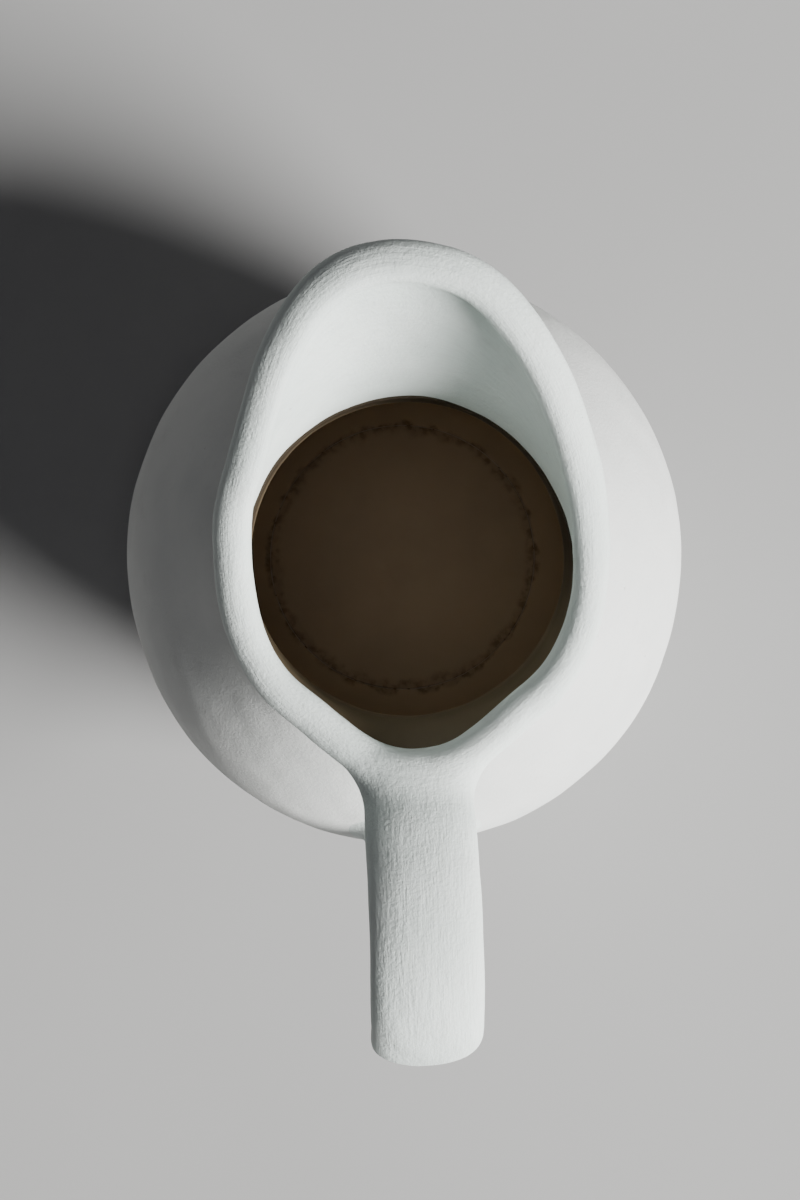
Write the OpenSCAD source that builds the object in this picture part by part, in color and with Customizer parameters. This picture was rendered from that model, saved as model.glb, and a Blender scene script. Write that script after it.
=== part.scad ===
// Ceramic pitcher: a round-bellied jug with a narrow throat, a wide pouring lip and a strap handle.
// The lip points along +Y and the handle along -Y. The pitcher stands on z = 0, centred on the Z axis.

/* [Foot and floor] */
// Outer radius of the foot ring
foot_r = 47; // [42:0.5:52]
// Width of the ring that touches the table
foot_w = 7; // [5:0.5:9]
// Height of the foot ring, and so of the hollow under the floor
foot_h = 4; // [3:0.5:6]
// Radius of the floor slab
floor_r = 41.2; // [36:0.2:44]
// Thickness of the floor slab
floor_t = 5; // [4:0.5:7]

/* [Belly] */
// Largest radius of the belly
belly_r = 80.2; // [72:0.2:90]
// Height of the belly's widest line
belly_z = 76; // [66:1:86]
// Thickness of the belly wall
belly_wall = 5; // [4:0.5:6]

/* [Neck and lip] */
// Height at which the shoulder turns into the neck
neck_z = 146; // [138:1:150]
// Outer radius of the neck
neck_r = 44; // [40:0.5:48]
// Thickness of the neck and lip wall
neck_wall = 4.4; // [3.6:0.2:5]
// Height of the throat, where the lip starts to flare
throat_z = 157; // [154:1:162]
// Distance from the axis to the rim's centre line at the tip of the lip
lip_reach = 66.4; // [56:0.2:72]
// How far the rim is drawn in between the lip and the sides
lip_waist = 1.6; // [0:0.1:2.5]
// How sharply the lip leans out towards its edge
lip_flare = 1.5; // [1:0.1:2.2]
// How far the rim swells behind the sides
back_swell = 2; // [0:0.2:3]
// How far the rim is drawn out towards the handle
back_reach = 6.8; // [3:0.2:8]

/* [Rolled rim] */
// Radius of the rim's centre line at the sides
rim_r = 42; // [39:0.2:45]
// Height of the rim's top at the handle
rim_back_z = 178; // [174:1:186]
// Height of the rim's top at the tip of the lip
rim_tip_z = 212; // [196:1:220]
// Width of the rolled rim at the sides
roll_w = 7.8; // [6.4:0.2:9]
// Extra width of the rolled rim at the tip of the lip
roll_tip_w = 2; // [0:0.2:4]
// Height of the rolled rim
roll_h = 7; // [5:0.5:8]

/* [Handle] */
// Width of the strap
strap_w = 27.4; // [22:0.2:30]
// Thickness of the strap at its middle
strap_t = 11.4; // [9:0.2:13]
// Distance from the axis to the outermost point of the strap's centre line
strap_reach = 120.2; // [110:0.2:126]
// Width of the web where the strap grows out of the rim
root_w = 44; // [34:1:50]

/* [Glaze] */
// Thickness of the glaze inside the pitcher
glaze_t = 0.6; // [0.4:0.1:1]

/* [Hidden] */

$fn = 96;
clay_white = [0.87, 0.89, 0.87];
bare_clay = [0.78, 0.74, 0.68];
glaze_brown = [0.22, 0.16, 0.11];

floor_z = foot_h + floor_t;
waist_angle = 46;
waist_half_angle = 32;
swell_angle = 135;
swell_half_angle = 45;
back_half_angle = 40;
rim_rise_power = 2.5;
bowl_steps = 12;
rim_steps = 64;
lip_steps = 6;
roll_step_angle = 24;
root_steps = 5;
strap_steps = 22;
root_share = 0.18;
rim_narrowing = 0.1;
strap_sides = 16;
oval_power = 0.9;
strap_bend = 0.6;
small_bevel = 1.2;
pad_length = 12;
pad_spread = 4.4;

// Outer profile of the lower bowl as a Bezier curve of radius and height
bowl_curve = [[foot_r + 1, foot_h], [foot_r + 21, foot_h + 10], [belly_r, belly_z - 32], [belly_r, belly_z]];
// Inner profile of the lower bowl
bowl_inner_curve = [
  [floor_r, floor_z], [floor_r + 20, floor_z + 8],
  [belly_r - belly_wall, belly_z - 30], [belly_r - belly_wall, belly_z]
];
// Outer profile of the shoulder, upright at both ends
shoulder_curve = [[belly_r, belly_z], [belly_r, belly_z + 36], [neck_r, neck_z - 22], [neck_r, neck_z]];
// Centre line of the handle in the YZ plane: over the top, then back down to the shoulder
handle_start = [-rim_r - back_reach, rim_back_z - strap_t / 2 - 0.4];
handle_outer = [-strap_reach, 146];
handle_foot = [-80.5, 99];
handle_over = [handle_start, [-78, 190], [-strap_reach, 188], handle_outer];
handle_down = [handle_outer, [-strap_reach, 118], [-102, 107], handle_foot];

// Point on a cubic Bezier curve at t from 0 to 1
function bezier(c, t) =
  c[0] * pow(1 - t, 3) + c[1] * 3 * t * pow(1 - t, 2) + c[2] * 3 * t * t * (1 - t) + c[3] * pow(t, 3);

// A Bezier curve as a list of points, set off sideways by d to its left
function curve_points(c, steps, d = 0) = [
  for (i = [0:steps])
    let (t = i / steps, e = 0.001)
    let (ahead = bezier(c, min(1, t + e)) - bezier(c, max(0, t - e)))
    bezier(c, t) + d * [-ahead[1], ahead[0]] / norm(ahead)
];

function backwards(list) = [for (i = [len(list) - 1:-1:0]) list[i]];

// A smooth bump: 1 at angle 0, falling to 0 at plus or minus half_angle
function bump(angle, half_angle) = abs(angle) < half_angle ? (1 + cos(180 * angle / half_angle)) / 2 : 0;

// Rim outline in plan, with the angle measured from +Y: a waisted half ellipse over the lip, round behind it
function lip_outline(a) =
  1 / norm([sin(a) / rim_r, cos(a) / lip_reach]) - lip_waist * bump(abs(a) - waist_angle, waist_half_angle);
function back_outline(a) =
  rim_r + back_swell * bump(abs(a) - swell_angle, swell_half_angle)
    + back_reach * bump(180 - abs(a), back_half_angle);
function rim_radius(a) = abs(a) < 90 ? lip_outline(a) : back_outline(a);
function rim_plan(a) = rim_radius(a) * [sin(a), cos(a)];
function rim_top(a) = rim_back_z + (rim_tip_z - rim_back_z) * pow((1 + cos(a)) / 2, rim_rise_power);
function rim_width(a) = roll_w + roll_tip_w * bump(a, 90);

// Unit vector in plan that points out across the rim
function rim_out(a) =
  let (ahead = rim_plan(a + 0.5) - rim_plan(a - 0.5))
  [-ahead[1], ahead[0]] / norm(ahead);

function plan_angle(i) = 360 * i / rim_steps > 180 ? 360 * i / rim_steps - 360 : 360 * i / rim_steps;

// Faces between neighbouring sections of m points, split the same way everywhere
function strip_faces(count, m, closed) = [
  for (i = [0:count - (closed ? 1 : 2)], j = [0:m - 1], half = [0, 1])
    let (a = i * m, b = ((i + 1) % count) * m, k = (j + 1) % m)
    half == 0 ? [a + j, a + k, b + k] : [a + j, b + k, b + j]
];

// A solid from sections that form a closed loop
module loop_solid(sections) {
  m = len(sections[0]);
  polyhedron(points = [for (s = sections) each s], faces = strip_faces(len(sections), m, true));
}

// A solid from sections along an open line, with both ends capped
module tube_solid(sections) {
  n = len(sections);
  m = len(sections[0]);
  first_cap = [for (j = [1:m - 2]) [0, j + 1, j]];
  last_cap = [for (j = [1:m - 2]) [(n - 1) * m, (n - 1) * m + j, (n - 1) * m + j + 1]];
  polyhedron(
    points = [for (s = sections) each s],
    faces = concat(first_cap, strip_faces(n, m, false), last_cap)
  );
}

module turned(outline) {
  rotate_extrude() polygon(outline);
}

// Section of the lip wall at plan angle a: up the outside, then down the inside
function lip_wall_point(a, v, side) =
  let (centre_r = neck_r - neck_wall / 2)
  let (r = centre_r + (rim_radius(a) - centre_r) * pow(v, lip_flare))
  let (across = (1 - v) * [sin(a), cos(a)] + v * rim_out(a))
  let (z = throat_z + (rim_top(a) - roll_h - throat_z) * v)
  let (p = r * [sin(a), cos(a)] + side * neck_wall / 2 * across / norm(across))
  [p[0], p[1], z];

function lip_section(a) = concat(
  [for (j = [0:lip_steps]) lip_wall_point(a, j / lip_steps, 1)],
  [for (j = [lip_steps:-1:0]) lip_wall_point(a, j / lip_steps, -1)]
);

// Section of the rolled rim at plan angle a: a round roll with a flat underside as wide as the wall
function roll_point(a, u, v) =
  let (p = rim_plan(a) + u * rim_out(a))
  [p[0], p[1], rim_top(a) - roll_h + v];

function roll_section(a) = concat(
  [roll_point(a, -neck_wall / 2, 0), roll_point(a, neck_wall / 2, 0)],
  [
    for (b = [-36:roll_step_angle:216])
      roll_point(a, rim_width(a) / 2 * cos(b), roll_h * (0.47 + 0.53 * sin(b)))
  ]
);

module lip_wall() {
  loop_solid([for (i = [0:rim_steps - 1]) backwards(lip_section(plan_angle(i)))]);
}

module rolled_rim() {
  loop_solid([for (i = [0:rim_steps - 1]) backwards(roll_section(plan_angle(i)))]);
}

// Centre line of the handle over its whole length, s from 0 at the rim to 1 at the shoulder
function handle_line(s) =
  s < strap_bend
    ? bezier(handle_over, s / strap_bend)
    : bezier(handle_down, (s - strap_bend) / (1 - strap_bend));

// Width of the strap: it narrows a little towards the rim, then spreads into the web
function strap_width(s) =
  let (web = s < root_share ? pow(1 - s / root_share, 2) : 0)
  let (plain = strap_w * (1 - rim_narrowing * pow(1 - s, 2)))
  plain + (root_w - plain) * web;

// A power that keeps the sign, which squares an oval's sides a little
function keep_sign_pow(v, p) = sign(v) * pow(abs(v), p);

// Section across the strap: a flattened oval, square to the handle's line
function strap_section(s) =
  let (c = handle_line(s), step = 0.004)
  let (ahead = handle_line(min(1, s + step)) - handle_line(max(0, s - step)))
  let (out = [ahead[1], -ahead[0]] / norm(ahead))
  [
    for (i = [strap_sides - 1:-1:0])
      let (b = 360 * i / strap_sides)
      let (x = strap_width(s) / 2 * keep_sign_pow(cos(b), oval_power))
      let (h = strap_t / 2 * keep_sign_pow(sin(b), oval_power))
      [x, c[0] + h * out[0], c[1] + h * out[1]]
  ];

module foot_ring() {
  color(bare_clay)
    turned([
      [foot_r - foot_w + small_bevel, 0], [foot_r - small_bevel, 0], [foot_r, small_bevel],
      [foot_r + 1, foot_h], [foot_r - foot_w, foot_h], [foot_r - foot_w, small_bevel]
    ]);
}

module floor_disc() {
  color(bare_clay) translate([0, 0, foot_h]) cylinder(r = floor_r, h = floor_t);
}

module lower_bowl() {
  color(clay_white)
    turned(concat(
      [[floor_r, foot_h]],
      curve_points(bowl_curve, bowl_steps),
      backwards(curve_points(bowl_inner_curve, bowl_steps))
    ));
}

module shoulder() {
  color(clay_white)
    turned(concat(
      curve_points(shoulder_curve, bowl_steps),
      backwards(curve_points(shoulder_curve, bowl_steps, belly_wall))
    ));
}

module neck_collar() {
  color(clay_white)
    turned([
      [neck_r - belly_wall, neck_z], [neck_r, neck_z],
      [neck_r, throat_z], [neck_r - neck_wall, throat_z]
    ]);
}

module spout_lip() {
  color(clay_white) lip_wall();
}

module rim_roll() {
  color(clay_white) rolled_rim();
}

// The web that the potter draws out of the rim and into the strap
module handle_root() {
  color(clay_white)
    difference() {
      tube_solid([for (i = [0:root_steps]) strap_section(root_share * i / root_steps)]);
      translate([0, 0, throat_z])
        linear_extrude(rim_tip_z)
          polygon([for (i = [0:rim_steps - 1]) rim_plan(plan_angle(i))]);
      rolled_rim();
      lip_wall();
    }
}

module handle_strap() {
  color(clay_white)
    tube_solid([for (i = [0:strap_steps]) strap_section(root_share + (1 - root_share) * i / strap_steps)]);
}

// A wad of clay under the strap's lower end, shaped to the shoulder
module handle_pad() {
  ahead = handle_line(1) - handle_line(0.996);
  lean = atan2(-ahead[1], ahead[0]);
  pad_r = strap_w / 2 + 0.6;
  color(clay_white)
    difference() {
      translate([0, handle_foot[0], handle_foot[1]])
        rotate([-90 - lean, 0, 0])
          cylinder(r1 = pad_r, r2 = pad_r + pad_spread, h = pad_length);
      turned(concat([[0, belly_z]], curve_points(shoulder_curve, bowl_steps), [[0, neck_z]]));
    }
}

module wall_glaze() {
  inner = concat(
    curve_points(bowl_inner_curve, bowl_steps),
    curve_points(shoulder_curve, bowl_steps, belly_wall),
    [[neck_r - neck_wall, throat_z]]
  );
  color(glaze_brown)
    turned(concat(inner, backwards([for (p = inner) p - [glaze_t, 0]])));
}

module floor_glaze() {
  color(glaze_brown)
    translate([0, 0, floor_z])
      cylinder(r = floor_r - glaze_t, h = glaze_t);
}

foot_ring();
floor_disc();
lower_bowl();
shoulder();
neck_collar();
spout_lip();
rim_roll();
handle_root();
handle_strap();
handle_pad();
wall_glaze();
floor_glaze();
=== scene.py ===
"""Looks of a ceramic pitcher: white brushed slip outside, satin brown glaze inside, one rigid body."""

import math

import bmesh
import bpy
import numpy as np
import openvdb
from mathutils import Matrix, Vector


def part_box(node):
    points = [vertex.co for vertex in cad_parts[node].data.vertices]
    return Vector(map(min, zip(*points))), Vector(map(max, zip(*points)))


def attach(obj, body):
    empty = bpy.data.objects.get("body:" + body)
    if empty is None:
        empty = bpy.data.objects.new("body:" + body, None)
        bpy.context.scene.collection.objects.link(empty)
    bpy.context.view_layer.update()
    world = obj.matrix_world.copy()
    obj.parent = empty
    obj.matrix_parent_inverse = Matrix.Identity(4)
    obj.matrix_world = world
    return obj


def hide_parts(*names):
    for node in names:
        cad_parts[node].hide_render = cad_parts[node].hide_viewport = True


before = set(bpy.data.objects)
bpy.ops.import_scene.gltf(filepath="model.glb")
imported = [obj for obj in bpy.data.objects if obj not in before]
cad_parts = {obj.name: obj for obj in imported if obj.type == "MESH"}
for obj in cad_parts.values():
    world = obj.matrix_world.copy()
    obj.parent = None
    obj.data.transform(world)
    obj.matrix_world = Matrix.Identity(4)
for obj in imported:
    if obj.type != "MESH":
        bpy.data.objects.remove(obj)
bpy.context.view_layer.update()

# Shapes are worked out in millimetres and become metres when a piece is made.
MM = 0.001
BODY = "root"

# ---------------------------------------------------------------- sizes from the frame


def box_mm(node):
    """Lowest and highest corner of a CAD node, in millimetres."""
    return [np.array(corner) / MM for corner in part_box(node)]


foot_hi = box_mm("foot_ring")[1]
floor_hi = box_mm("floor_disc")[1]
bowl_hi = box_mm("lower_bowl")[1]
neck_lo, neck_hi = box_mm("neck_collar")
rim_lo, rim_hi = box_mm("rim_roll")
strap_lo, strap_hi = box_mm("handle_strap")

# Room left inside the CAD model for the hand-made surface to wander.
SPARE = 0.35

FOOT_TOP_R, FOOT_H = foot_hi[1], foot_hi[2]
# Width of the foot ring where it meets the bowl.
FOOT_W = 8.0
FLOOR_R, FLOOR_Z = floor_hi[1], floor_hi[2]
BELLY_R, BELLY_Z = bowl_hi[1] - SPARE, bowl_hi[2]
NECK_R, NECK_Z, THROAT_Z = neck_hi[1], neck_lo[2], neck_hi[2]
WALL = 5.0
NECK_WALL = 4.4
GLAZE_T = 0.6

ROLL_H = 7.0
ROLL_W = 7.8
ROLL_TIP_W = 2.0
# The roll is made this much narrower each side, because its fillet onto the wall widens it again.
ROLL_SPARE = 0.5
# How far the roll's crest leans to its inner side: the fall in height for each millimetre outwards.
ROLL_TILT = 0.24
RIM_R = rim_hi[0] - ROLL_W / 2
LIP_REACH = rim_hi[1] - (ROLL_W + ROLL_TIP_W) / 2 - SPARE
RIM_TIP_Z = rim_hi[2] - SPARE
RIM_BACK_Z = rim_lo[2] + ROLL_H
LIP_WAIST = 1.6
BACK_SWELL = 2.0
# The mouth runs 1 mm further towards the handle than the CAD rim does.
BACK_REACH = 7.8

STRAP_W = strap_hi[0] * 2
# The strap is a little thicker than the CAD strap.
STRAP_T = 12.2
STRAP_REACH = -strap_lo[1] - STRAP_T / 2 - SPARE

# The thrown belly is about three percent narrower across than along, and the foot and neck are round.
BELLY_OVAL = 0.031

# ---------------------------------------------------------------- detail

TURN_STEPS = 320
VOXEL = 0.65
# Reach of the fillets from the handle onto the rim, from its foot onto the belly, and from the roll
# onto the wall, and how far from a surface the distance fields go.
BLEND_REACH = 7.4
PAD_BLEND_REACH = 9.0
CREASE_REACH = 6.0
BAND = 11.5

# ---------------------------------------------------------------- curves and outlines


def bezier(control, t):
    """Points of a cubic Bezier curve at the parameters t."""
    t = np.asarray(t, float)[..., None]
    p0, p1, p2, p3 = (np.array(p, float) for p in control)
    return p0 * (1 - t) ** 3 + p1 * 3 * t * (1 - t) ** 2 + p2 * 3 * t**2 * (1 - t) + p3 * t**3


def bump(angle, half_angle):
    """1 at angle 0, falling smoothly to 0 at plus or minus half_angle."""
    inside = np.abs(angle) < half_angle
    return np.where(inside, (1 + np.cos(np.pi * angle / half_angle)) / 2, 0.0)


def smooth_step(low, high, x):
    """0 below low, 1 above high, and a smooth ramp between."""
    t = np.clip((x - low) / (high - low), 0, 1)
    return t * t * (3 - 2 * t)


BOWL_OUTER = [
    (FOOT_TOP_R, FOOT_H), (FOOT_TOP_R + 20, FOOT_H + 10),
    (BELLY_R, BELLY_Z - 32), (BELLY_R, BELLY_Z),
]
BOWL_INNER = [
    (FLOOR_R, FLOOR_Z), (FLOOR_R + 20, FLOOR_Z + 8),
    (BELLY_R - WALL, BELLY_Z - 30), (BELLY_R - WALL, BELLY_Z),
]
SHOULDER = [(BELLY_R, BELLY_Z), (BELLY_R, BELLY_Z + 36), (NECK_R, NECK_Z - 22), (NECK_R, NECK_Z)]
CURVE_ROWS = 64


def bowl_line(side):
    """The bowl's outline as (radius, height) from the foot up: side is 1 outside and -1 inside."""
    return bezier(BOWL_OUTER if side == 1 else BOWL_INNER, np.linspace(0, 1, CURVE_ROWS))


def shoulder_line(side):
    """The shoulder's outline from the belly up to the neck: side is 1 outside and -1 inside."""
    t = np.linspace(0, 1, CURVE_ROWS)
    outer = bezier(SHOULDER, t)
    if side == 1:
        return outer
    ahead = np.gradient(outer, axis=0, edge_order=2)
    ahead /= np.linalg.norm(ahead, axis=1, keepdims=True)
    wall = WALL + (NECK_WALL - WALL) * smooth_step(0.4, 1, t)
    return outer + wall[:, None] * np.stack([-ahead[:, 1], ahead[:, 0]], axis=1)


def oval(height):
    """How much narrower the belly is across than along at this height, as a factor."""
    low = smooth_step(FOOT_H, BELLY_Z, height)
    high = 1 - smooth_step(BELLY_Z, NECK_Z, height)
    return 1 - BELLY_OVAL * low * high


WAIST_AT, WAIST_HALF = math.radians(46), math.radians(32)
SWELL_AT, SWELL_HALF = math.radians(135), math.radians(45)
BACK_HALF = math.radians(40)
TIP_AT, TIP_HALF, TIP_BLUNT = math.radians(17), math.radians(12), 0.5
# The potter's rim sits a little to the right of the throat, most of all beside the lip.
LEAN = 0.9


def rim_radius(angle):
    """Distance of the rim's centre line from the axis, at an angle in radians from +Y."""
    away = np.abs(angle)
    waist = bump(away - WAIST_AT, WAIST_HALF)
    lip = 1 / np.hypot(np.sin(angle) / RIM_R, np.cos(angle) / LIP_REACH) - LIP_WAIST * waist
    swell = BACK_SWELL * bump(away - SWELL_AT, SWELL_HALF)
    back = RIM_R + swell + BACK_REACH * bump(np.pi - away, BACK_HALF)
    lean = LEAN * np.sin(angle) + LEAN * np.sign(angle) * waist
    tip = TIP_BLUNT * bump(away - TIP_AT, TIP_HALF) + TIP_BLUNT * bump(angle + TIP_AT / 2, TIP_HALF)
    return np.where(away < np.pi / 2, lip, back) + lean + tip


RIM_RISE_POWER = 2.5


def rim_top(angle):
    """Height of the rim's top, which rises mostly towards the tip."""
    return RIM_BACK_Z + (RIM_TIP_Z - RIM_BACK_Z) * ((1 + np.cos(angle)) / 2) ** RIM_RISE_POWER


def rim_base(angle):
    """Height of the line where the wall becomes the rolled rim."""
    return rim_top(angle) - ROLL_H


def rim_width(angle):
    """Width of the rolled rim, which is widest at the tip."""
    return ROLL_W + ROLL_TIP_W * bump(angle, np.pi / 2)


def plan(radius, angle):
    """x and y of points at a distance from the axis and an angle from +Y."""
    return np.stack([radius * np.sin(angle), radius * np.cos(angle)], axis=-1)


def rim_across(angle):
    """Unit vector in plan that points out across the rim."""
    step = 0.01
    ahead = plan(rim_radius(angle + step), angle + step) - plan(rim_radius(angle - step), angle - step)
    ahead /= np.linalg.norm(ahead, axis=-1, keepdims=True)
    return np.stack([-ahead[..., 1], ahead[..., 0]], axis=-1)


LIP_FLARE = 1.5


def lip_radius(angle, v):
    """Distance of the lip wall's middle from the axis, v going from 0 at the throat to 1 under the rim."""
    middle = NECK_R - NECK_WALL / 2
    return middle + (rim_radius(angle) - middle) * np.clip(v, 0, 1) ** LIP_FLARE


def lip_point(angle, v, side, rise=0.0):
    """A point on the lip wall: side is 1 on its outer face and -1 on its inner face."""
    v = np.broadcast_to(v, np.shape(angle)).astype(float)
    across = (1 - v)[..., None] * plan(np.ones_like(angle), angle) + v[..., None] * rim_across(angle)
    across /= np.linalg.norm(across, axis=-1, keepdims=True)
    xy = plan(lip_radius(angle, v), angle) + side * NECK_WALL / 2 * across
    z = THROAT_Z + (rim_base(angle) - THROAT_Z) * v + rise
    return np.concatenate([xy, z[..., None]], axis=-1)


# ---------------------------------------------------------------- the handle's line

HANDLE_START = (-RIM_R - BACK_REACH, RIM_BACK_Z - STRAP_T / 2 - 0.2)
HANDLE_OUTER = (-STRAP_REACH, 146)
HANDLE_FOOT = (-80.5, 99)
HANDLE_OVER = [HANDLE_START, (-78, 190), (-STRAP_REACH, 188), HANDLE_OUTER]
HANDLE_DOWN = [HANDLE_OUTER, (-STRAP_REACH, 118), (-102, 107), HANDLE_FOOT]
HANDLE_SAMPLES = 240
# Places along the handle, from 0 at the rim to 1: the end of the web, and where its two curves join.
ROOT_AT = 0.18
BEND_AT = 0.6
# The strap narrows towards the rim before the first of these places, and towards the shoulder after
# the second.
RIM_NARROWING, RIM_NARROW_AT, RIM_NARROW_POWER = 0.08, 0.42, 1.5
FOOT_NARROWING, FOOT_NARROW_AT = 0.22, 0.45
WEB_WIDENING, WEB_THINNING = 0.02, 0.12
# A power under 1 squares the strap's oval a little.
STRAP_SQUARED = 0.96
# The strap wanders to the right by this much, most of all a quarter of the way along.
SWAY, SWAY_AT, SWAY_HALF = 0.8, 0.25, 0.35


def handle_line(s):
    """Centre line of the handle as (y, z), with s from 0 at the rim to 1 at the shoulder, and past both."""
    s = np.asarray(s, float)[..., None]
    over = bezier(HANDLE_OVER, np.minimum(s[..., 0], BEND_AT) / BEND_AT)
    down = bezier(HANDLE_DOWN, np.maximum(s[..., 0] - BEND_AT, 0) / (1 - BEND_AT))
    return np.where(s < BEND_AT, over, down)


def handle_direction(s):
    """Unit vector (y, z) along the handle."""
    step = 0.004
    ahead = handle_line(s + step) - handle_line(s - step)
    return ahead / np.linalg.norm(ahead, axis=-1, keepdims=True)


def handle_section(s, sides):
    """Oval section of the strap at s: widest over the top, narrower at both ends, webbed at the rim."""
    turn = np.linspace(0, 2 * np.pi, sides, endpoint=False)
    web = max(0, 1 - s / ROOT_AT) ** 2
    at_rim = RIM_NARROWING * max(0, 1 - s / RIM_NARROW_AT) ** RIM_NARROW_POWER
    at_foot = FOOT_NARROWING * max(0, s - FOOT_NARROW_AT)
    width = STRAP_W * (1.0 - at_rim - at_foot)
    width = width * (1 + WEB_WIDENING * web)
    thickness = STRAP_T * (1 - WEB_THINNING * web)
    (y, z), (along_y, along_z) = handle_line(s), handle_direction(s)
    across = width / 2 * np.sign(np.cos(turn)) * np.abs(np.cos(turn)) ** STRAP_SQUARED
    height = thickness / 2 * np.sign(np.sin(turn)) * np.abs(np.sin(turn)) ** STRAP_SQUARED
    sway = SWAY * bump(s - SWAY_AT, SWAY_HALF)
    return np.stack([across + sway, y + height * along_z, z - height * along_y], axis=-1)


# ---------------------------------------------------------------- closed meshes as arrays


def loop_faces(sections, points, closed):
    """Quads between neighbouring sections of points each; closed joins the last section to the first."""
    i = np.arange(sections if closed else sections - 1)[:, None]
    j = np.arange(points)[None, :]
    here, ahead = i * points, (i + 1) % sections * points
    beside = (j + 1) % points
    return np.stack([here + j, here + beside, ahead + beside, ahead + j], axis=-1).reshape(-1, 4)


def turned(outline):
    """Points and quads of a closed (radius, height) outline turned round the axis, as oval as the belly."""
    angle = np.linspace(0, 2 * np.pi, TURN_STEPS, endpoint=False)[:, None]
    radius, height = outline[:, 0][None, :], outline[:, 1][None, :]
    xy = plan(radius * np.ones_like(angle), angle * np.ones_like(radius))
    xy[..., 0] *= oval(height)
    points = np.concatenate([xy, np.broadcast_to(height, xy.shape[:2])[..., None]], axis=-1)
    return points.reshape(-1, 3), loop_faces(TURN_STEPS, outline.shape[0], True)


def rounded(outline, radius, steps=5):
    """A closed outline with each corner turned into a small arc."""
    out = []
    for before, corner, after in zip(np.roll(outline, 1, 0), outline, np.roll(outline, -1, 0)):
        a = corner + (before - corner) * min(0.5, radius / np.linalg.norm(before - corner))
        b = corner + (after - corner) * min(0.5, radius / np.linalg.norm(after - corner))
        for t in np.linspace(0, 1, steps):
            out.append(a * (1 - t) ** 2 + corner * 2 * t * (1 - t) + b * t**2)
    return np.array(out)


def around():
    """Angles all the way round from +Y, between minus pi and pi."""
    angle = np.linspace(0, 2 * np.pi, TURN_STEPS, endpoint=False)
    return np.where(angle > np.pi, angle - 2 * np.pi, angle)


# Rows of the wall under the neck, in the neck and in the lip, and how far up the roll the wall runs.
UNDER_ROWS, NECK_ROWS, LIP_ROWS, INTO_ROLL = 14, 5, 36, 0.45


def wall_mesh():
    """The neck and lip wall from a little below the neck up into the rim, closed."""
    angle = around()
    rows = []
    for side in (1, -1):
        edge = shoulder_line(side)[-UNDER_ROWS:-1]
        neck = NECK_R - (0 if side == 1 else NECK_WALL)
        collar = np.linspace(NECK_Z, THROAT_Z, NECK_ROWS, endpoint=False)
        edge = np.concatenate([edge, [(neck, z) for z in collar]])
        rising = [
            np.column_stack([plan(np.full_like(angle, r), angle), np.full_like(angle, z)]) for r, z in edge
        ]
        rising += [lip_point(angle, v, side) for v in np.linspace(0, 1, LIP_ROWS)]
        rising.append(lip_point(angle, 1.0, side, rise=ROLL_H * INTO_ROLL))
        rows += rising if side == 1 else rising[::-1]
    points = np.stack(rows, axis=1)
    return points.reshape(-1, 3), loop_faces(TURN_STEPS, len(rows), True)


def roll_mesh(sides=28):
    """The rolled rim as a closed ring of rounded sections."""
    angle = around()
    centre, across = plan(rim_radius(angle), angle), rim_across(angle)
    tilt = ROLL_TILT * smooth_step(-1, -0.2, -np.abs(angle) / np.pi)
    rows = []
    for turn in np.linspace(0, 2 * np.pi, sides, endpoint=False):
        out = (rim_width(angle) / 2 - ROLL_SPARE) * np.cos(turn)
        up = ROLL_H * (0.5 + 0.5 * np.sin(turn)) - tilt * out
        rows.append(np.column_stack([centre + out[:, None] * across, rim_base(angle) + up]))
    points = np.stack(rows, axis=1)
    return points.reshape(-1, 3), loop_faces(TURN_STEPS, sides, True)


def handle_mesh(sides=48):
    """The strap and its web, run a little way into the rim and into the shoulder, with its ends capped."""
    line = np.linspace(0.012, 1.0, 160)
    points = [handle_section(s, sides) for s in line]
    into = handle_direction(1.0) * 5
    points.append(points[-1] + [0, into[0], into[1]])
    n = len(points)
    points = np.concatenate(points)
    quads = loop_faces(n, sides, False)
    half = np.arange(sides // 2 - 1)
    caps = [
        np.stack([base + half, base + half + 1, base + sides - 2 - half, base + sides - 1 - half], axis=-1)
        for base in (0, (n - 1) * sides)
    ]
    return points, np.concatenate([quads, *caps])


def belly_mesh():
    """The belly's outside above the middle of the bowl's curve, as a solid for the handle to blend onto."""
    bowl = bowl_line(1)[CURVE_ROWS // 2:-1]
    outline = np.concatenate([[(0.5, bowl[0, 1])], bowl, shoulder_line(1), [(0.5, NECK_Z)]])
    return turned(outline)


# ---------------------------------------------------------------- distance fields

# The grid holds the neck, the lip, the rim and the handle, with room round them.
GRID_LO = np.floor(np.array([-54, -132, 68]) / VOXEL).astype(int)
GRID_HI = np.ceil(np.array([54, 76, 216]) / VOXEL).astype(int)


def distance_field(points, quads):
    """Signed distance to a closed mesh on the shared grid, negative inside and cut off at BAND."""
    grid = openvdb.FloatGrid.createLevelSetFromPolygons(
        points=points.astype(np.float32),
        quads=quads.astype(np.uint32),
        transform=openvdb.createLinearTransform(VOXEL),
        halfWidth=BAND / VOXEL,
    )
    field = np.empty(GRID_HI - GRID_LO, np.float32)
    grid.copyToArray(field, tuple(int(i) for i in GRID_LO))
    return field


def smooth_union(a, b, reach):
    """Both solids as one, with a fillet where they meet."""
    h = np.maximum(reach - np.abs(a - b), 0) / reach
    return np.minimum(a, b) - h * h * reach / 4


def surface(field):
    """The zero surface of a field, as points and quads that face outwards."""
    band = 4 * VOXEL
    grid = openvdb.FloatGrid(band)
    grid.transform = openvdb.createLinearTransform(VOXEL)
    grid.copyFromArray(np.clip(field, -band, band), tuple(int(i) for i in GRID_LO))
    points, quads = grid.convertToQuads(0)
    return points.astype(float), quads.astype(int)


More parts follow.
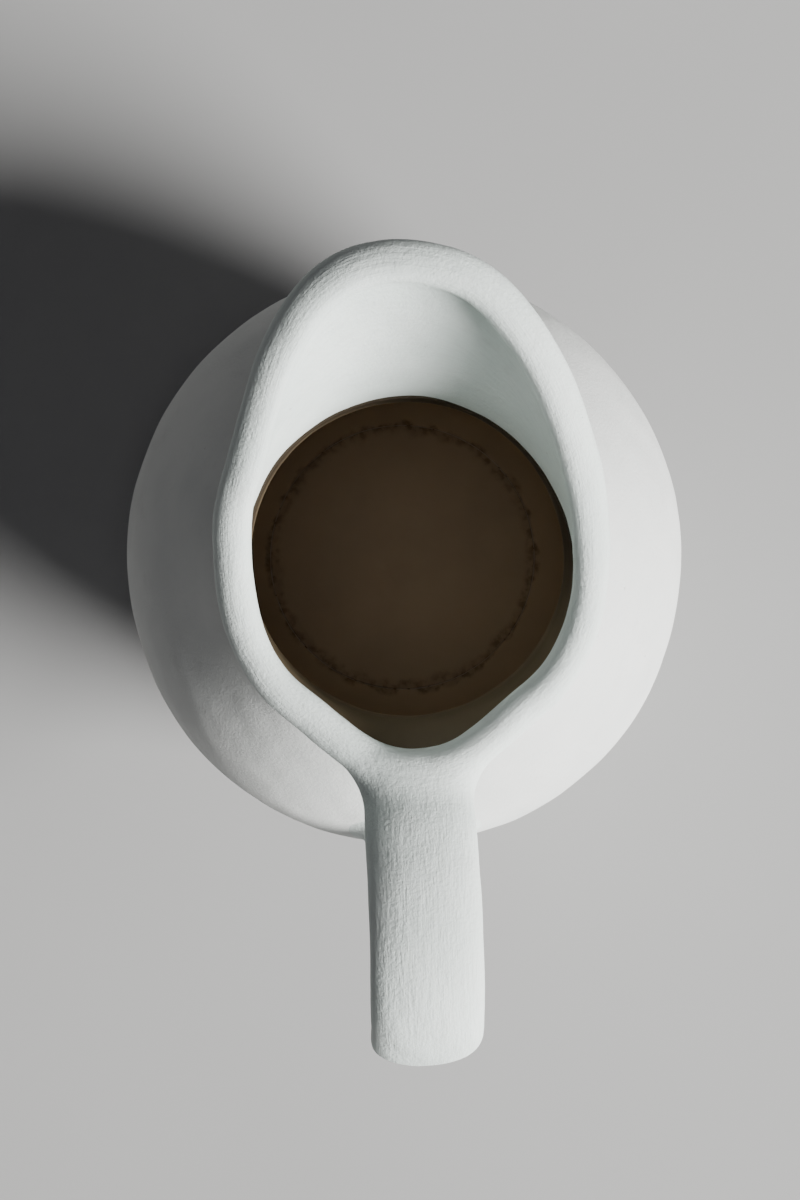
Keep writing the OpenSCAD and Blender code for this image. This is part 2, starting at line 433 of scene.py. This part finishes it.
def sample(field, points):
    """Values of a field at points between the grid's own."""
    place = points / VOXEL - GRID_LO
    cell = np.clip(np.floor(place).astype(int), 0, np.array(field.shape) - 2)
    part = np.clip(place - cell, 0, 1)
    total = np.zeros(len(points))
    for corner in np.ndindex(2, 2, 2):
        weight = np.prod(np.where(corner, part, 1 - part), axis=1)
        total += weight * field[tuple((cell + corner).T)]
    return total


# ---------------------------------------------------------------- hand-made unevenness

UNEVEN = np.random.default_rng(7)
# Length of each wave, its size, and how many there are of it.
UNEVEN_KINDS = ((60, 0.08, 5), (24, 0.03, 8), (9, 0.006, 12))
UNEVEN_WAVES = [
    (UNEVEN.normal(size=3) * 2 * np.pi / length, UNEVEN.uniform(0, 2 * np.pi), size)
    for length, size, count in UNEVEN_KINDS
    for _ in range(count)
]


def unevenness(points):
    """How far the potter's hand left the surface proud at each point, in millimetres."""
    return sum(size * np.sin(points @ wave + phase) for wave, phase, size in UNEVEN_WAVES)


def vertex_normals(points, quads):
    """Area-weighted normals of a mesh's points."""
    a, b, c, d = (points[quads[:, i]] for i in range(4))
    face = np.cross(c - a, d - b)
    normals = np.zeros_like(points)
    for i in range(4):
        np.add.at(normals, quads[:, i], face)
    return normals / np.maximum(np.linalg.norm(normals, axis=1, keepdims=True), 1e-12)


def relaxed(points, quads, rounds=2):
    """Points of a mesh evened out by moving each towards its neighbours, without shrinking the shape."""
    pairs = np.concatenate([quads[:, [i, (i + 1) % 4]] for i in range(4)])
    count = np.bincount(pairs[:, 0], minlength=len(points))[:, None]
    for share in (0.5, -0.53) * rounds:
        beside = points[pairs[:, 1]]
        total = [np.bincount(pairs[:, 0], beside[:, i], len(points)) for i in range(3)]
        points = points + share * (np.stack(total, axis=1) / count - points)
    return points


def grid_normals(grid):
    """Normals of a surface given as points[turn, row], outwards when its rows rise."""
    ahead = np.roll(grid, -1, axis=0) - np.roll(grid, 1, axis=0)
    normals = np.cross(np.gradient(grid, axis=1, edge_order=2), ahead)
    return normals / np.linalg.norm(normals, axis=-1, keepdims=True)


def uneven_skin(grid, side, lift=0.0):
    """A turned surface moved by unevenness and lift, with its normals: side is 1 outside and -1 inside."""
    move = unevenness(grid.reshape(-1, 3)).reshape(grid.shape[:2]) + lift
    grid = grid + side * grid_normals(grid) * move[..., None]
    return grid, side * grid_normals(grid)


def turned_line(line):
    """points[turn, row] of a line of (radius, height) turned round the axis, with the belly's oval."""
    angle = around()[:, None]
    radius, height = line.T
    grid = np.empty((TURN_STEPS, len(line), 3))
    grid[..., 0] = radius * oval(height) * np.sin(angle)
    grid[..., 1] = radius * np.cos(angle)
    grid[..., 2] = height
    return grid


# ---------------------------------------------------------------- brush stroke coordinates

STROKE_PITCH = 0.5
STROKE_LENGTH = 3.4
# Length of the lip wall from the throat to the rim, as the strokes count it.
LIP_HEIGHT = 48.0
strap_samples = np.linspace(0, 1, HANDLE_SAMPLES)
strap_line = handle_line(strap_samples)
strap_length = np.concatenate([[0], np.cumsum(np.linalg.norm(np.diff(strap_line, axis=0), axis=1))])


def round_strokes(points):
    """Coordinates for strokes that run round the pot: round it and across (3), and up the wall (1)."""
    angle = np.arctan2(points[:, 0], points[:, 1])
    base = rim_base(angle)
    v = (points[:, 2] - THROAT_Z) / (base - THROAT_Z)
    across = np.hypot(points[:, 0], points[:, 1]) - lip_radius(angle, v)
    height = np.where(v < 0, points[:, 2] - THROAT_Z, np.minimum(v, 1) * LIP_HEIGHT)
    height = height + np.maximum(points[:, 2] - base, 0)
    ring = plan(np.full_like(angle, RIM_R / STROKE_LENGTH), angle)
    return np.column_stack([ring, across / STROKE_PITCH]), height / STROKE_PITCH


def strap_strokes(points):
    """Coordinates for strokes that run along the strap: across it, through it and along it."""
    step = 20000
    nearest = np.concatenate([
        np.argmin(((points[i:i + step, None, 1:] - strap_line[None]) ** 2).sum(-1), axis=1)
        for i in range(0, len(points), step)
    ])
    ahead = handle_direction(strap_samples[nearest])
    gap = points[:, 1:] - strap_line[nearest]
    along = strap_length[nearest] + (gap * ahead).sum(-1)
    through = gap[:, 0] * ahead[:, 1] - gap[:, 1] * ahead[:, 0]
    return np.column_stack([points[:, 0] / STROKE_PITCH, through / STROKE_PITCH, along / STROKE_LENGTH])


# ---------------------------------------------------------------- meshes in Blender

NORMAL, ROUND, STRAP = "shown_normal", "round_strokes", "strap_strokes"
HEIGHT, SHARE, BRUSHING, CUT, CAP = "stroke_height", "strap_share", "brushing", "cut", "cap"
# How strongly the belly was brushed, where the rim and strap have 1.
BELLY_BRUSHING = 0.25
# A cut that passes this close to a vertex goes through it.
SNAP = 0.04


def to_bmesh(points, quads, normals=None, caps=None, strap_share=None, brushing=BELLY_BRUSHING):
    """A bmesh in millimetres that carries the shown normals and the brush stroke coordinates."""
    mesh = bpy.data.meshes.new("making")
    mesh.from_pydata(points.tolist(), [], quads.tolist())
    bm = bmesh.new()
    bm.from_mesh(mesh)
    bpy.data.meshes.remove(mesh)
    n = len(points)
    ring, height = round_strokes(points)
    values = {
        NORMAL: vertex_normals(points, quads) if normals is None else normals,
        ROUND: ring,
        STRAP: np.zeros((n, 3)) if strap_share is None else strap_strokes(points),
        HEIGHT: height,
        SHARE: np.zeros(n) if strap_share is None else strap_share,
        BRUSHING: np.broadcast_to(brushing, n),
    }
    for name, rows in values.items():
        kinds = bm.verts.layers.float_vector if rows.ndim == 2 else bm.verts.layers.float
        layer = kinds.new(name)
        for vert, row in zip(bm.verts, rows.tolist()):
            vert[layer] = row
    layer = bm.faces.layers.int.new(CAP)
    if caps is not None:
        for face, is_cap in zip(bm.faces, caps.tolist()):
            face[layer] = is_cap
    return bm


def between(front, front_normals, back, back_normals):
    """A closed bmesh between two turned surfaces points[turn, row] that both rise, capped at both ends."""
    rows = front.shape[1]
    points = np.concatenate([front, back[:, ::-1]], axis=1)
    normals = np.concatenate([front_normals, back_normals[:, ::-1]], axis=1)
    quads = loop_faces(TURN_STEPS, points.shape[1], True)
    row = np.tile(np.arange(points.shape[1]), TURN_STEPS)
    caps = ((row == rows - 1) | (row == points.shape[1] - 1)).astype(int)
    return to_bmesh(points.reshape(-1, 3), quads, normals.reshape(-1, 3), caps)


def split_faces(bm, heights):
    """Cuts the faces of bm along the line where heights, one number for each vertex, pass through zero."""
    layer = bm.verts.layers.float.get(CUT) or bm.verts.layers.float.new(CUT)
    for vert, height in zip(bm.verts, heights.tolist()):
        vert[layer] = 0 if abs(height) < SNAP else height
    on_line = {v for v in bm.verts if v[layer] == 0}
    for edge in [e for e in bm.edges if e.verts[0][layer] * e.verts[1][layer] < 0]:
        a, b = edge.verts
        share = a[layer] / (a[layer] - b[layer])
        added = bmesh.utils.edge_split(edge, a, share)[1]
        added[layer] = 0
        on_line.add(added)
    waiting = list({f for v in on_line for f in v.link_faces})
    while waiting:
        face = waiting.pop()
        corners = list(face.verts)
        signs = [np.sign(v[layer]) for v in corners]
        if 1 not in signs or -1 not in signs:
            continue
        zeros = [i for i, sign in enumerate(signs) if sign == 0]
        for first, second in zip(zeros, zeros[1:] + zeros[:1]):
            arc = (second - first) % len(corners)
            if 1 < arc < len(corners) - 1:
                waiting += [face, bmesh.utils.face_split(face, corners[first], corners[second])[0]]
                break
    return layer


def side_of(face, layer):
    """The sign of the side of the cut that a face is on."""
    return max((v[layer] for v in face.verts), key=abs)


def cut_in_two(bm, heights, facing):
    """Two closed meshes, below and above the line where heights pass through zero, each capped there."""
    layer = split_faces(bm, heights)
    halves = []
    for sign in (-1, 1):
        half = bm.copy()
        own = half.verts.layers.float.get(CUT)
        away = [f for f in half.faces if side_of(f, own) * sign < 0]
        bmesh.ops.delete(half, geom=away, context="FACES")
        edges = [e for e in half.edges if e.is_boundary]
        filled = bmesh.ops.triangle_fill(half, use_beauty=True, edges=edges, normal=Vector(facing))
        cap = half.faces.layers.int.get(CAP)
        for item in filled["geom"]:
            if isinstance(item, bmesh.types.BMFace):
                item[cap] = 1
        bmesh.ops.recalc_face_normals(half, faces=half.faces)
        halves.append(half)
    bm.free()
    return halves


def coordinates(bm):
    """Places of a bmesh's vertices, one row each."""
    return np.array([v.co[:] for v in bm.verts])


def piece(name, bm, material, nodes):
    """Makes an object from a bmesh in millimetres, which rides on the pot and stands for CAD nodes."""
    bmesh.ops.scale(bm, vec=(MM, MM, MM), verts=bm.verts)
    bmesh.ops.recalc_face_normals(bm, faces=bm.faces)
    cap, shown = bm.faces.layers.int.get(CAP), bm.verts.layers.float_vector.get(NORMAL)
    normals = []
    for face in bm.faces:
        face.smooth = True
        for vert in face.verts:
            normals.append(face.normal[:] if face[cap] else vert[shown][:])
    mesh = bpy.data.meshes.new(name)
    bm.to_mesh(mesh)
    bm.free()
    mesh.normals_split_custom_set(normals)
    for spare in (NORMAL, CUT, CAP):
        if spare in mesh.attributes:
            mesh.attributes.remove(mesh.attributes[spare])
    mesh.materials.append(material)
    obj = bpy.data.objects.new(name, mesh)
    bpy.context.scene.collection.objects.link(obj)
    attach(obj, BODY)
    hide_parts(*nodes)


# ---------------------------------------------------------------- materials


class Nodes:
    """A short way to write a material's node tree."""

    def __init__(self, name):
        self.material = bpy.data.materials.new(name)
        self.material.use_nodes = True
        self.tree = self.material.node_tree
        self.shader = self.tree.nodes["Principled BSDF"]

    def link(self, value, socket):
        """Feeds a socket from another socket, or sets it to a plain value."""
        if isinstance(value, bpy.types.NodeSocket):
            self.tree.links.new(value, socket)
        elif value is not None:
            socket.default_value = value

    def node(self, kind, settings=None, **inputs):
        made = self.tree.nodes.new("ShaderNode" + kind)
        for key, value in (settings or {}).items():
            setattr(made, key, value)
        for key, value in inputs.items():
            self.link(value, made.inputs[key.replace("_", " ")])
        return made

    def attribute(self, name, output="Fac"):
        return self.node("Attribute", {"attribute_name": name}).outputs[output]

    def noise(self, vector, scale, detail=2.0, w=None, roughness=0.5):
        kind = {"noise_dimensions": "4D" if w is not None else "3D"}
        made = self.node("TexNoise", kind, Vector=vector, Scale=scale, Detail=detail)
        made.inputs["Roughness"].default_value = roughness
        if w is not None:
            self.link(w, made.inputs["W"])
        return made.outputs["Fac"]

    def ramp(self, value, low, high, out_low=0.0, out_high=1.0):
        """value mapped from low..high to out_low..out_high, smoothly and held at the ends."""
        made = self.node("MapRange", {"interpolation_type": "SMOOTHSTEP"}, Value=value)
        numbers = {"From Min": low, "From Max": high, "To Min": out_low, "To Max": out_high}
        for key, number in numbers.items():
            made.inputs[key].default_value = number
        return made.outputs["Result"]

    def math(self, operation, a, b=None):
        made = self.node("Math", {"operation": operation})
        self.link(a, made.inputs[0])
        self.link(b, made.inputs[1])
        return made.outputs[0]

    def mix(self, share, a, b):
        """Colour a turning into colour b as share goes from 0 to 1."""
        made = self.node("Mix", {"data_type": "RGBA"})
        self.link(share, made.inputs["Factor"])
        self.link(a, made.inputs[6])
        self.link(b, made.inputs[7])
        return made.outputs[2]

    def blend(self, share, a, b):
        """Number a turning into number b as share goes from 0 to 1."""
        made = self.node("Mix", {"data_type": "FLOAT"})
        self.link(share, made.inputs[0])
        self.link(a, made.inputs[2])
        self.link(b, made.inputs[3])
        return made.outputs[0]

    def position(self):
        """Place on the object, in metres."""
        return self.node("TexCoord").outputs["Object"]


def slip_material(name):
    """White slip: matte, with brush strokes where it was brushed, grain, pits and rubbed tone."""
    n = Nodes(name)
    place = n.position()
    brushing = n.attribute(BRUSHING)
    share = n.attribute(SHARE)
    ring, height = n.attribute(ROUND, "Vector"), n.attribute(HEIGHT)
    strap = n.attribute(STRAP, "Vector")
    strokes = n.blend(share, n.noise(ring, 1.0, 3.0, w=height), n.noise(strap, 1.0, 3.0))
    broad = n.blend(share, n.noise(ring, 0.3, 2.0, w=height), n.noise(strap, 0.3, 2.0))
    grain = n.noise(place, 1250.0, 3.0, roughness=0.65)
    stipple = n.noise(place, 820.0, 2.0)
    cloud = n.noise(place, 38.0, 4.0)
    smudge = n.noise(place, 95.0, 5.0, roughness=0.7)
    pits = n.ramp(n.noise(place, 480.0, 1.0), 0.79, 0.85)

    tone = n.mix(n.ramp(cloud, 0.3, 0.7), (0.675, 0.675, 0.665, 1), (0.735, 0.735, 0.72, 1))
    cool = n.mix(n.ramp(cloud, 0.3, 0.7), (0.64, 0.705, 0.68, 1), (0.70, 0.755, 0.73, 1))
    base = n.mix(brushing, tone, cool)
    base = n.mix(n.math("MULTIPLY", n.ramp(smudge, 0.56, 0.70), 0.16), base, (0.50, 0.50, 0.49, 1))
    # Painted shade: the slip is painted darker where the strokes sink, in their grooves, more where it was
    # brushed.
    groove_shade = n.math("MULTIPLY", n.ramp(strokes, 0.60, 0.34), n.ramp(brushing, 0.2, 1.0, 0.05, 0.16))
    streaked = n.mix(groove_shade, base, (0.47, 0.51, 0.50, 1))
    pitted = n.mix(n.math("MULTIPLY", pits, 0.4), streaked, (0.30, 0.28, 0.26, 1))
    n.link(pitted, n.shader.inputs["Base Color"])
    n.link(n.ramp(strokes, 0.3, 0.7, 0.74, 0.92), n.shader.inputs["Roughness"])

    relief = n.math("MULTIPLY", n.math("ADD", strokes, broad), n.math("MULTIPLY", brushing, 0.8))
    relief = n.math("ADD", relief, n.math("MULTIPLY", stipple, n.ramp(brushing, 0.2, 1.0, 0.35, 0.7)))
    relief = n.math("ADD", relief, n.math("MULTIPLY", grain, n.ramp(brushing, 0.2, 1.0, 0.6, 1.0)))
    relief = n.math("SUBTRACT", relief, n.math("MULTIPLY", pits, 0.9))
    bumped = n.node("Bump", Height=relief)
    bumped.inputs["Strength"].default_value = 0.7
    bumped.inputs["Distance"].default_value = 0.22 * MM
    n.link(bumped.outputs["Normal"], n.shader.inputs["Normal"])
    n.shader.inputs["Specular IOR Level"].default_value = 0.3
    return n.material


def glaze_material(name):
    """Satin brown glaze, with a dark ring where the wall meets the floor: painted shade in that corner,
    flecked with crumbs of residue.

    Its colours are set for this scene's light. Little light reaches the belly, so the glaze there is pale
    to show as brown, and the key light falls on the throat, so the glaze there is dark.
    """
    n = Nodes(name)
    place = n.position()
    parts = n.node("SeparateXYZ", Vector=place)
    flat = n.node("CombineXYZ", X=parts.outputs["X"], Y=parts.outputs["Y"])
    radius = n.node("VectorMath", {"operation": "LENGTH"}, Vector=flat.outputs[0]).outputs["Value"]
    cloud = n.noise(place, 30.0, 4.0)
    ragged = n.math("ADD", radius, n.ramp(n.noise(place, 160.0, 4.0), 0.3, 0.7, -1.1 * MM, 1.1 * MM))
    edge = (FLOOR_R - GLAZE_T) * MM
    inner = n.ramp(ragged, edge - 4.5 * MM, edge)
    outer = n.ramp(ragged, edge + 0.3 * MM, edge + 1.8 * MM, 1.0, 0.0)
    low = n.ramp(parts.outputs["Z"], (FLOOR_Z + 4) * MM, (FLOOR_Z + 9) * MM, 1.0, 0.0)
    # Painted shade in the corner where the wall meets the floor: darker over the last 4.5 mm towards it,
    # with crumbs of residue flecked in by the noise below.
    ring = n.math("MULTIPLY", n.math("MULTIPLY", n.math("MULTIPLY", inner, inner), outer), low)
    corner_shade_and_crumbs = n.math("MULTIPLY", ring, n.ramp(n.noise(place, 420.0, 2.0), 0.42, 0.64, 0.2, 0.55))
    in_belly = n.mix(n.ramp(cloud, 0.3, 0.7), (0.45, 0.345, 0.215, 1), (0.51, 0.395, 0.25, 1))
    in_throat = n.mix(n.ramp(cloud, 0.3, 0.7), (0.03, 0.021, 0.012, 1), (0.04, 0.028, 0.016, 1))
    upper = n.ramp(parts.outputs["Z"], 0.130, 0.152)
    darkened = n.math("MULTIPLY", upper, n.ramp(parts.outputs["Y"], -0.024, 0.004, 0.82, 1.0))
    base = n.mix(darkened, in_belly, in_throat)
    n.link(n.mix(corner_shade_and_crumbs, base, (0.10, 0.045, 0.015, 1)), n.shader.inputs["Base Color"])
    n.link(n.ramp(cloud, 0.3, 0.7, 0.55, 0.68), n.shader.inputs["Roughness"])
    n.shader.inputs["Specular IOR Level"].default_value = 0.25
    bumped = n.node("Bump", Height=n.noise(place, 220.0, 3.0))
    bumped.inputs["Strength"].default_value = 0.25
    bumped.inputs["Distance"].default_value = 0.2 * MM
    n.link(bumped.outputs["Normal"], n.shader.inputs["Normal"])
    return n.material


def clay_material(name):
    """Bare fired clay with turning rings and dark grog."""
    n = Nodes(name)
    place = n.position()
    parts = n.node("SeparateXYZ", Vector=place)
    flat = n.node("CombineXYZ", X=parts.outputs["X"], Y=parts.outputs["Y"])
    radius = n.node("VectorMath", {"operation": "LENGTH"}, Vector=flat.outputs[0]).outputs["Value"]
    rings = n.math("SINE", n.math("MULTIPLY", radius, 2 * math.pi / (1.9 * MM)))
    grain = n.noise(place, 1100.0, 3.0)
    grog = n.ramp(n.noise(place, 700.0, 0.0), 0.68, 0.74)
    base = n.mix(n.ramp(n.noise(place, 60.0, 4.0), 0.3, 0.7), (0.50, 0.42, 0.33, 1), (0.60, 0.52, 0.43, 1))
    n.link(n.mix(grog, base, (0.22, 0.15, 0.10, 1)), n.shader.inputs["Base Color"])
    n.link(n.ramp(grain, 0.3, 0.7, 0.82, 0.95), n.shader.inputs["Roughness"])
    relief = n.math("ADD", n.math("MULTIPLY", rings, 0.25), grain)
    bumped = n.node("Bump", Height=relief)
    bumped.inputs["Strength"].default_value = 0.5
    bumped.inputs["Distance"].default_value = 0.25 * MM
    n.link(bumped.outputs["Normal"], n.shader.inputs["Normal"])
    return n.material


# ---------------------------------------------------------------- the pieces

ABOVE = (0, 0, 1)
STRAP_END_AT = 0.965
# The fillet onto the belly stays this far under the strap's surface, and sinks this far into the belly.
PAD_UNDER, PAD_SINK = 0.15, 1.4
# How fast that fillet fades out away from the strap.
PAD_FADE = 5
# Where the rim's strokes give way to the strap's: how much nearer the strap is than the mouth.
STRAP_FROM, STRAP_TO = -4, 8
# A height that is well clear of a cut, for the parts that the cut has to leave alone.
CLEAR = 5.0
# The cut that frees the strap starts this far outside the neck and above this height.
ARCH_OUT, ARCH_Z = 9, 140
# The web is cut from the rim this far outside the roll, and only on the handle's side of this line.
ROOT_GAP, ROOT_SIDE = 1.2, -30
# Corners of a turned piece that are nearer than this become one.
MERGE = 0.002


def top_surface():
    """Neck, lip, rolled rim and handle as one flowing clay surface, as a bmesh."""
    mouth = smooth_union(distance_field(*wall_mesh()), distance_field(*roll_mesh()), CREASE_REACH)
    strap = distance_field(*handle_mesh())
    belly = distance_field(*belly_mesh())
    fillet = smooth_union(strap, belly, PAD_BLEND_REACH) + PAD_UNDER
    spread = np.maximum(fillet, (strap - PAD_BLEND_REACH) * PAD_FADE)
    handle = np.maximum(np.minimum(strap, spread), -(belly + PAD_SINK))
    points, quads = surface(smooth_union(mouth, handle, BLEND_REACH))
    points = relaxed(points, quads)
    points = points + vertex_normals(points, quads) * unevenness(points)[:, None]
    share = smooth_step(STRAP_FROM, STRAP_TO, sample(mouth, points) - sample(handle, points))
    brushed = np.maximum(smooth_step(NECK_Z, THROAT_Z + 8, points[:, 2]), share)
    brushing = BELLY_BRUSHING + (1 - BELLY_BRUSHING) * brushed
    return to_bmesh(points, quads, strap_share=share, brushing=brushing)


def top_pieces(bm):
    """The flowing surface cut where the potter's members meet, as {name: closed bmesh}."""
    made = {}
    co = coordinates(bm)
    out = np.hypot(co[:, 0], co[:, 1])
    centre, ahead = handle_line(ROOT_AT), handle_direction(ROOT_AT)
    past = (co[:, 1:] - centre) @ ahead
    heights = np.where(out < NECK_R + ARCH_OUT, -CLEAR, np.where(co[:, 2] > ARCH_Z, past, CLEAR))
    bm, low = cut_in_two(bm, heights, (0, *ahead))

    co = coordinates(low)
    centre, ahead = handle_line(STRAP_END_AT), handle_direction(STRAP_END_AT)
    made["handle_strap"], made["handle_pad"] = cut_in_two(low, (co[:, 1:] - centre) @ ahead, (0, *ahead))

    co = coordinates(bm)
    angle = np.arctan2(co[:, 0], co[:, 1])
    past = np.hypot(co[:, 0], co[:, 1]) - rim_radius(angle) - rim_width(angle) / 2 - ROOT_GAP
    heights = np.where(co[:, 1] < ROOT_SIDE, past, -CLEAR)
    bm, made["handle_root"] = cut_in_two(bm, heights, (0, -1, 0))

    co = coordinates(bm)
    bm, made["rim_roll"] = cut_in_two(bm, co[:, 2] - rim_base(np.arctan2(co[:, 0], co[:, 1])), ABOVE)
    bm, made["spout_lip"] = cut_in_two(bm, coordinates(bm)[:, 2] - THROAT_Z, ABOVE)
    below, made["neck_collar"] = cut_in_two(bm, coordinates(bm)[:, 2] - NECK_Z, ABOVE)
    below.free()
    return made


# Share of the lip wall that the glaze covers under the tip, how much more it covers at the handle, and
# the angles from the tip between which it rises.
GLAZE_TIP, GLAZE_MORE = 0.02, 0.9
GLAZE_FROM, GLAZE_TO = math.radians(62), math.radians(122)
# The glaze stands this much less than its thickness over the clay, and its back is sunk this deep.
GLAZE_SUNK, GLAZE_BACK = 0.1, 0.3


def glaze_wall():
    """The glaze on the inside wall, up to a wavy line that dips at the lip, just proud of the clay."""
    angle = around()
    reach = GLAZE_TIP + GLAZE_MORE * smooth_step(GLAZE_FROM, GLAZE_TO, np.abs(angle))
    reach = reach + 0.012 * np.sin(5 * angle + 1) + 0.008 * np.sin(11 * angle)
    collar = np.array([(NECK_R - NECK_WALL, z) for z in np.linspace(NECK_Z, THROAT_Z, 8)])
    lines = [bowl_line(-1)[:-1], shoulder_line(-1)[:-1], collar[:-1]]
    rising = [lip_point(angle, reach * share, -1) for share in np.linspace(0, 1, 16)]
    grid = np.concatenate([turned_line(np.concatenate(lines)), np.stack(rising, axis=1)], axis=1)
    front, front_normals = uneven_skin(grid, -1, GLAZE_T - GLAZE_SUNK)
    back, back_normals = uneven_skin(grid, -1, -GLAZE_BACK)
    return between(front, front_normals, back, -back_normals)


def turned_piece(outline, corner):
    """A closed bmesh of a closed outline turned round the axis, with rounded corners and no axis hole."""
    points, quads = turned(rounded(np.array(outline, float), corner))
    bm = to_bmesh(points, quads)
    bmesh.ops.remove_doubles(bm, verts=bm.verts, dist=MERGE)
    bmesh.ops.delete(bm, geom=[e for e in bm.edges if e.is_wire], context="EDGES")
    return bm


slip_body, slip_brushed = slip_material("body_slip"), slip_material("brushed_slip")
clay, glaze = clay_material("bare_clay"), glaze_material("brown_glaze")

for name, bm in top_pieces(top_surface()).items():
    is_body = name == "neck_collar"
    material, slot = (slip_body, "body_slip") if is_body else (slip_brushed, "brushed_slip")
    piece(name + "_look", bm, material, [name])

for name, line in (("lower_bowl", bowl_line), ("shoulder", shoulder_line)):
    outer, inner = (uneven_skin(turned_line(line(side)), side) for side in (1, -1))
    piece(name + "_look", between(*outer, *inner), slip_body, [name])

piece("wall_glaze_look", glaze_wall(), glaze, ["wall_glaze"])
pool_r, pool_low, pool_top = FLOOR_R - 0.4, FLOOR_Z - 0.3, FLOOR_Z + GLAZE_T
floor_glaze = [(0, pool_low), (pool_r, pool_low), (pool_r, pool_top), (0, pool_top)]
piece("floor_glaze_look", turned_piece(floor_glaze, 0.2), glaze, ["floor_glaze"])
floor_disc = [(0, FOOT_H), (FLOOR_R, FOOT_H), (FLOOR_R, FLOOR_Z), (0, FLOOR_Z)]
piece("floor_disc_look", turned_piece(floor_disc, 0.1), clay, ["floor_disc"])
foot_inner_r = FOOT_TOP_R - FOOT_W
foot = [(foot_inner_r, FOOT_H), (foot_inner_r + 0.6, 0), (FOOT_TOP_R - 1.2, 0), (FOOT_TOP_R, FOOT_H)]
piece("foot_ring_look", turned_piece(foot, 0.25), clay, ["foot_ring"])

# ---------------------------------------------------------------- floor, light and camera

# Half of the floor's side, in metres.
FLOOR_HALF = 6


def make_floor():
    """A plain pale floor."""
    bm = bmesh.new()
    bmesh.ops.create_grid(bm, x_segments=2, y_segments=2, size=FLOOR_HALF)
    mesh = bpy.data.meshes.new("floor")
    bm.to_mesh(mesh)
    bm.free()
    n = Nodes("floor")
    tone = n.ramp(n.noise(n.position(), 3.0, 3.0), 0.3, 0.7)
    n.link(n.mix(tone, (0.35, 0.35, 0.35, 1), (0.38, 0.38, 0.38, 1)), n.shader.inputs["Base Color"])
    n.shader.inputs["Roughness"].default_value = 0.9
    mesh.materials.append(n.material)
    floor = bpy.data.objects.new("floor", mesh)
    bpy.context.scene.collection.objects.link(floor)


def aim(obj, eye, target, up):
    """Places obj at eye, looking at target, with up as its upright."""
    forward = (Vector(target) - Vector(eye)).normalized()
    right = forward.cross(Vector(up)).normalized()
    turn = Matrix((right, right.cross(forward), -forward)).transposed().to_4x4()
    obj.matrix_world = Matrix.Translation(eye) @ turn
    bpy.context.scene.collection.objects.link(obj)


def add_light(name, eye, target, size, power, colour):
    """A round area light at eye that shines at target."""
    light = bpy.data.lights.new(name, "AREA")
    light.shape = "DISK"
    light.size = size
    light.energy = power
    light.color = colour
    aim(bpy.data.objects.new(name, light), eye, target, ABOVE)


make_floor()
# Places in metres, sizes across in metres, powers in watts.
CENTRE = (0, -0.01, 0.10)
KEY_EYE, KEY_SIZE, KEY_POWER, KEY_COLOUR = (3.30, -1.96, 2.18), 2.3, 730, (1.0, 0.99, 0.97)
FILL_EYE, FILL_SIZE, FILL_POWER, FILL_COLOUR = (0.0, 0.01, 1.7), 0.6, 1.8, (0.98, 0.96, 1.0)
add_light("key", KEY_EYE, CENTRE, KEY_SIZE, KEY_POWER, KEY_COLOUR)
add_light("fill", FILL_EYE, CENTRE, FILL_SIZE, FILL_POWER, FILL_COLOUR)

world = bpy.data.worlds.new("studio")
world.use_nodes = True
world.node_tree.nodes["Background"].inputs["Color"].default_value = (0.90, 0.92, 1.0, 1)
world.node_tree.nodes["Background"].inputs["Strength"].default_value = 0.03
bpy.context.scene.world = world

# The camera looks almost straight down, turned a little about its own axis.
CAMERA_EYE, CAMERA_TARGET = (-0.0057, 0.0022, 0.7033), (-0.0012, -0.0134, 0)
CAMERA_LENS, SENSOR_WIDTH = 67.05, 36
CAMERA_ROLL = math.radians(2.2)
camera = bpy.data.objects.new("camera", bpy.data.cameras.new("camera"))
camera.data.sensor_width = SENSOR_WIDTH
camera.data.lens = CAMERA_LENS
aim(camera, CAMERA_EYE, CAMERA_TARGET, (math.sin(CAMERA_ROLL), math.cos(CAMERA_ROLL), 0))
bpy.context.scene.camera = camera

bpy.context.view_layer.update()
